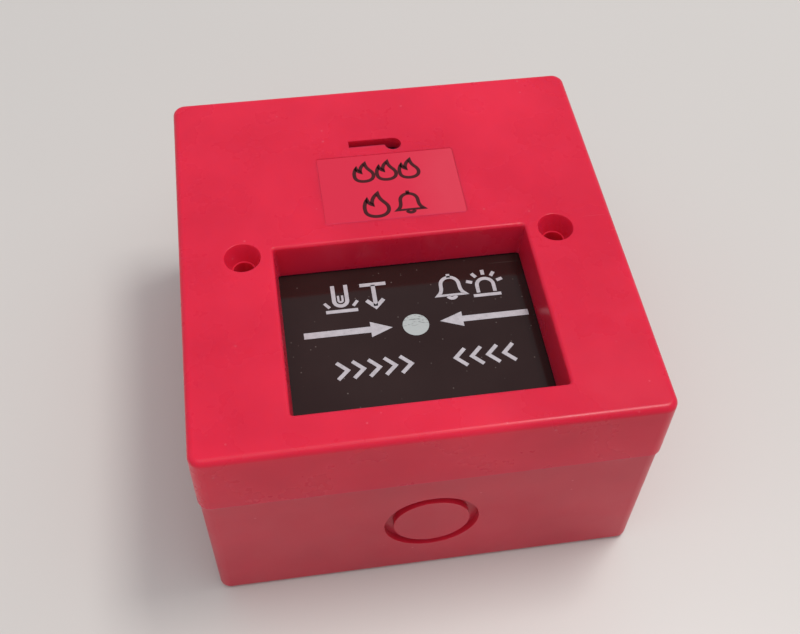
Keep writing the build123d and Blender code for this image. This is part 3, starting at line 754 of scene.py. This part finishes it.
def spring_tree():
    inputs = dict.fromkeys(("Radius", "Wire", "Length", "Turns"), "Float")
    tree, given = open_tree("compression spring", inputs | {"Finish": "Material"})
    links = tree.links

    def math_node(operation, a, b=None):
        node = tree.nodes.new("ShaderNodeMath")
        node.operation = operation
        for socket, value in zip(node.inputs, (a, b)):
            if isinstance(value, bpy.types.NodeSocket):
                links.new(value, socket)
            elif value is not None:
                socket.default_value = value
        return node.outputs[0]

    line = tree.nodes.new("GeometryNodeMeshLine")
    line.mode = "OFFSET"
    line.inputs["Count"].default_value = SPRING_POINTS
    path = tree.nodes.new("GeometryNodeMeshToCurve")
    links.new(line.outputs["Mesh"], path.inputs["Mesh"])
    index = tree.nodes.new("GeometryNodeInputIndex").outputs[0]
    along = math_node("DIVIDE", index, SPRING_POINTS - 1.0)
    angle = math_node("MULTIPLY", math_node("MULTIPLY", along, given["Turns"]), 2 * math.pi)
    x = math_node("MULTIPLY", math_node("COSINE", angle), given["Radius"])
    y = math_node("MULTIPLY", math_node("SINE", angle), given["Radius"])
    eased = tree.nodes.new("ShaderNodeMapRange")
    eased.interpolation_type = "SMOOTHSTEP"
    links.new(along, eased.inputs["Value"])
    closed = math_node("MULTIPLY", eased.outputs["Result"], 0.6)
    rise = math_node("ADD", closed, math_node("MULTIPLY", along, 0.4))
    half_wire = math_node("MULTIPLY", given["Wire"], 0.5)
    free = math_node("SUBTRACT", given["Length"], given["Wire"])
    z = math_node("ADD", math_node("MULTIPLY", rise, free), half_wire)
    join = tree.nodes.new("ShaderNodeCombineXYZ")
    for socket, value in zip(join.inputs, (x, y, z)):
        links.new(value, socket)
    wound = tree.nodes.new("GeometryNodeSetPosition")
    links.new(path.outputs["Curve"], wound.inputs["Geometry"])
    links.new(join.outputs[0], wound.inputs["Position"])
    section = tree.nodes.new("GeometryNodeCurvePrimitiveCircle")
    section.inputs["Resolution"].default_value = WIRE_SIDES
    links.new(half_wire, section.inputs["Radius"])
    sweep = tree.nodes.new("GeometryNodeCurveToMesh")
    sweep.inputs["Fill Caps"].default_value = True
    links.new(wound.outputs["Geometry"], sweep.inputs["Curve"])
    links.new(section.outputs["Curve"], sweep.inputs["Profile Curve"])
    smooth = tree.nodes.new("GeometryNodeSetShadeSmooth")
    links.new(sweep.outputs["Mesh"], smooth.inputs["Geometry"])
    return close_tree(tree, smooth.outputs["Geometry"], given["Finish"])


SPRING = spring_tree()
print("spring tree has", len(SPRING.nodes), "nodes")

# %% [markdown]
# The four return springs stand round the carrier's sleeves, at the corners of their node's box, and the
# latch spring lies along Y in the latch's slot. Each is wound at the origin and its place is then put into
# its mesh, so that the finished piece sits at the origin like every other.

# %% Return springs and latch spring
def wind_spring(name, radius, wire, length, turns, spot):
    piece = put_in_scene(name, bpy.data.meshes.new(name))
    values = {"Radius": radius, "Wire": wire, "Length": length, "Turns": turns, "Finish": spring_steel}
    bake_nodes(piece, SPRING, values)
    piece.data.transform(spot)
    return piece


def join_pieces(name, pieces):
    """Several meshes made one, so that springs that act together are one piece."""
    joined = bmesh.new()
    for piece in pieces:
        joined.from_mesh(piece.data)
        bpy.data.objects.remove(piece)
    return piece_from(name, joined, spring_steel)


RETURN_R, RETURN_WIRE = 3.75 * MM, 0.55 * MM
LATCH_R, LATCH_WIRE = 1.1 * MM, 0.36 * MM

low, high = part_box("return_springs")
reach = RETURN_R + RETURN_WIRE / 2
corners = [(x, y) for x in (low.x + reach, high.x - reach) for y in (low.y + reach, high.y - reach)]
wound = [wind_spring(f"spring_{i}", RETURN_R, RETURN_WIRE, high.z - low.z, 6.0,
                     Matrix.Translation((x, y, low.z))) for i, (x, y) in enumerate(corners)]
return_springs = join_pieces("wound_return_springs", wound)
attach(return_springs, "cover")
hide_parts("return_springs")
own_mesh(return_springs)

low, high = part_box("latch_spring")
start = Matrix.Translation(((low.x + high.x) / 2, low.y, (low.z + high.z) / 2))
along_y = start @ Matrix.Rotation(-math.pi / 2, 4, "X")
latch_spring = wind_spring("wound_latch_spring", LATCH_R, LATCH_WIRE, high.y - low.y, 7.0, along_y)
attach(latch_spring, "cover")
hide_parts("latch_spring")
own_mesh(latch_spring)
print("latch spring is", round((high.y - low.y) / MM, 1), "mm long")

# %% [markdown]
# ## Solder joints
# Each pin that comes through the board ends in a small cone of solder with a hollow flank. One cone is
# spun from its profile, then Geometry Nodes put a copy on a point for each pin.

# %% Solder cones
def solder_cone(name, spot_z):
    """A cone of solder hanging under the board, spun from a hollow profile."""
    profile = [(0.95, 0.0), (0.80, -0.12), (0.52, -0.42), (0.40, -0.80), (0.33, -1.05), (0.0, -1.15)]
    sides = 16
    mesh = bmesh.new()
    rings = []
    for r, z in profile[:-1]:
        ring = arc(0, 0, r, 0, 360 - 360 / sides, sides - 1)
        rings.append([mesh.verts.new((x * MM, y * MM, spot_z + z * MM)) for x, y in ring])
    tip = mesh.verts.new((0, 0, spot_z + profile[-1][1] * MM))
    for upper, lower in zip(rings, rings[1:]):
        for i in range(sides):
            mesh.faces.new((upper[i], upper[i - 1], lower[i - 1], lower[i]))
    for i in range(sides):
        mesh.faces.new((rings[-1][i], rings[-1][i - 1], tip))
    mesh.faces.new(rings[0])
    bmesh.ops.recalc_face_normals(mesh, faces=mesh.faces)
    for face in mesh.faces:
        face.smooth = len(face.verts) < 5
    return piece_from(name, mesh)


def on_points_tree():
    tree, given = open_tree("one on each point", {"Copy": "Object", "Finish": "Material"})
    info = tree.nodes.new("GeometryNodeObjectInfo")
    copies = tree.nodes.new("GeometryNodeInstanceOnPoints")
    tree.links.new(given["Geometry"], copies.inputs["Points"])
    tree.links.new(given["Copy"], info.inputs["Object"])
    tree.links.new(info.outputs["Geometry"], copies.inputs["Instance"])
    return close_tree(tree, copies.outputs["Instances"], given["Finish"])


def pin_centres(node):
    """The middle in X and Y of each separate solid in a node."""
    mesh = bmesh.new()
    mesh.from_mesh(nodes[node].data)
    bmesh.ops.remove_doubles(mesh, verts=mesh.verts, dist=1e-6)
    left, centres = set(mesh.verts), []
    while left:
        group, edge = set(), [left.pop()]
        while edge:
            vert = edge.pop()
            group.add(vert)
            near = {e.other_vert(vert) for e in vert.link_edges} & left
            left -= near
            edge.extend(near)
        xs, ys = [v.co.x for v in group], [v.co.y for v in group]
        centres.append(((min(xs) + max(xs)) / 2, (min(ys) + max(ys)) / 2))
    mesh.free()
    return sorted(centres)


board_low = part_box("circuit_board")[0].z
joints_at = pin_centres("switch_pins")
cone = solder_cone("solder_cone", board_low)
points = bpy.data.meshes.new("solder_joints")
points.from_pydata([(x, y, 0.0) for x, y in joints_at], [], [])
solder_joints = put_in_scene("solder_joints", points)
bake_nodes(solder_joints, on_points_tree(), {"Copy": cone, "Finish": solder})
bpy.data.objects.remove(cone)
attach(solder_joints, "cover")
print(len(joints_at), "solder joints")

# %% [markdown]
# ## The table
# The object lies on a pale, slightly warm desk top with a soft sheen. The top is one large square, staged
# so that it isn't counted as part of the object, with a little mottle so that shadows have something to
# fall on.

# %% Table top
HALF_TABLE = 3.0


def table_finish():
    material, shader, spot = new_material("pale table", (0.640, 0.612, 0.580), 0.40)
    cloud = pattern_noise(material, spot, 3.0, 3.0)
    mottled = mix_color(material, between(material, cloud, 0.3, 0.7), (0.630, 0.602, 0.570),
                        (0.650, 0.622, 0.590))
    feed(material, mottled, shader, "Base Color")
    return material


ring = [(x * HALF_TABLE, y * HALF_TABLE, 0) for x, y in ((-1, -1), (1, -1), (1, 1), (-1, 1))]
table_mesh = bpy.data.meshes.new("table_top")
table_mesh.from_pydata(ring, [], [(0, 1, 2, 3)])
table_mesh.materials.append(table_finish())
put_in_scene("table_top", table_mesh)
print("table", 2 * HALF_TABLE, "m square")

# %% [markdown]
# ## Light
# An ordinary room: a soft lamp above and a little to the right draws the bright line along the rounded
# edges, the whole ceiling around it glows more weakly, and a pale surround fills the rest. Area lights
# are measured in metres here, because their size decides how soft the shadows are.

# %% Lights and surround
AIM = Vector((0.0, 0.0, 0.05))


def area_light(name, place_at, size, power, color):
    light = bpy.data.lights.new(name, "AREA")
    light.shape = "RECTANGLE"
    light.size, light.size_y = size
    light.energy = power
    light.color = color
    holder = put_in_scene(name, light)
    holder.location = place_at
    holder.rotation_euler = (AIM - Vector(place_at)).to_track_quat("-Z", "Y").to_euler()


area_light("lamp", (0.34, 0.08, 1.02), (0.34, 0.22), 4.2, (1.0, 0.985, 0.965))
area_light("ceiling", (0.10, -0.20, 1.15), (1.60, 0.90), 5.2, (1.0, 0.99, 0.975))
world = bpy.data.worlds.new("room")
world.use_nodes = True
surround = world.node_tree.nodes["Background"]
surround.inputs["Color"].default_value = (0.93, 0.94, 1.0, 1.0)
surround.inputs["Strength"].default_value = 0.48
bpy.context.scene.world = world
bpy.context.scene.view_settings.view_transform = "Standard"
print("two area lights and a pale room")

# %% [markdown]
# ## Camera
# The viewer stands over the near side, a little to the left, about a quarter of a metre away. The camera
# is given by where it is, where it looks and which way is up, and its axes are built from those three.

# %% Camera
LENS = 50.05
eye = Vector((-25.51, -144.58, 215.52)) * MM
forward = Vector((0.10691, 0.60572, -0.78846)).normalized()
up = Vector((0.10463, 0.78175, 0.61475)).normalized()
right = forward.cross(up).normalized()
up = right.cross(forward)
camera_data = bpy.data.cameras.new("viewer")
camera_data.lens = LENS
camera_data.sensor_width = 36.0
camera_data.sensor_fit = "HORIZONTAL"
camera_data.clip_start = 0.005
camera_data.shift_x = 0.0018
camera_data.shift_y = -0.0036
camera = put_in_scene("viewer", camera_data)
camera.matrix_world = Matrix.Translation(eye) @ Matrix((right, up, -forward)).transposed().to_4x4()
bpy.context.scene.camera = camera
print("camera", round(eye.length, 3), "m from the object's origin")
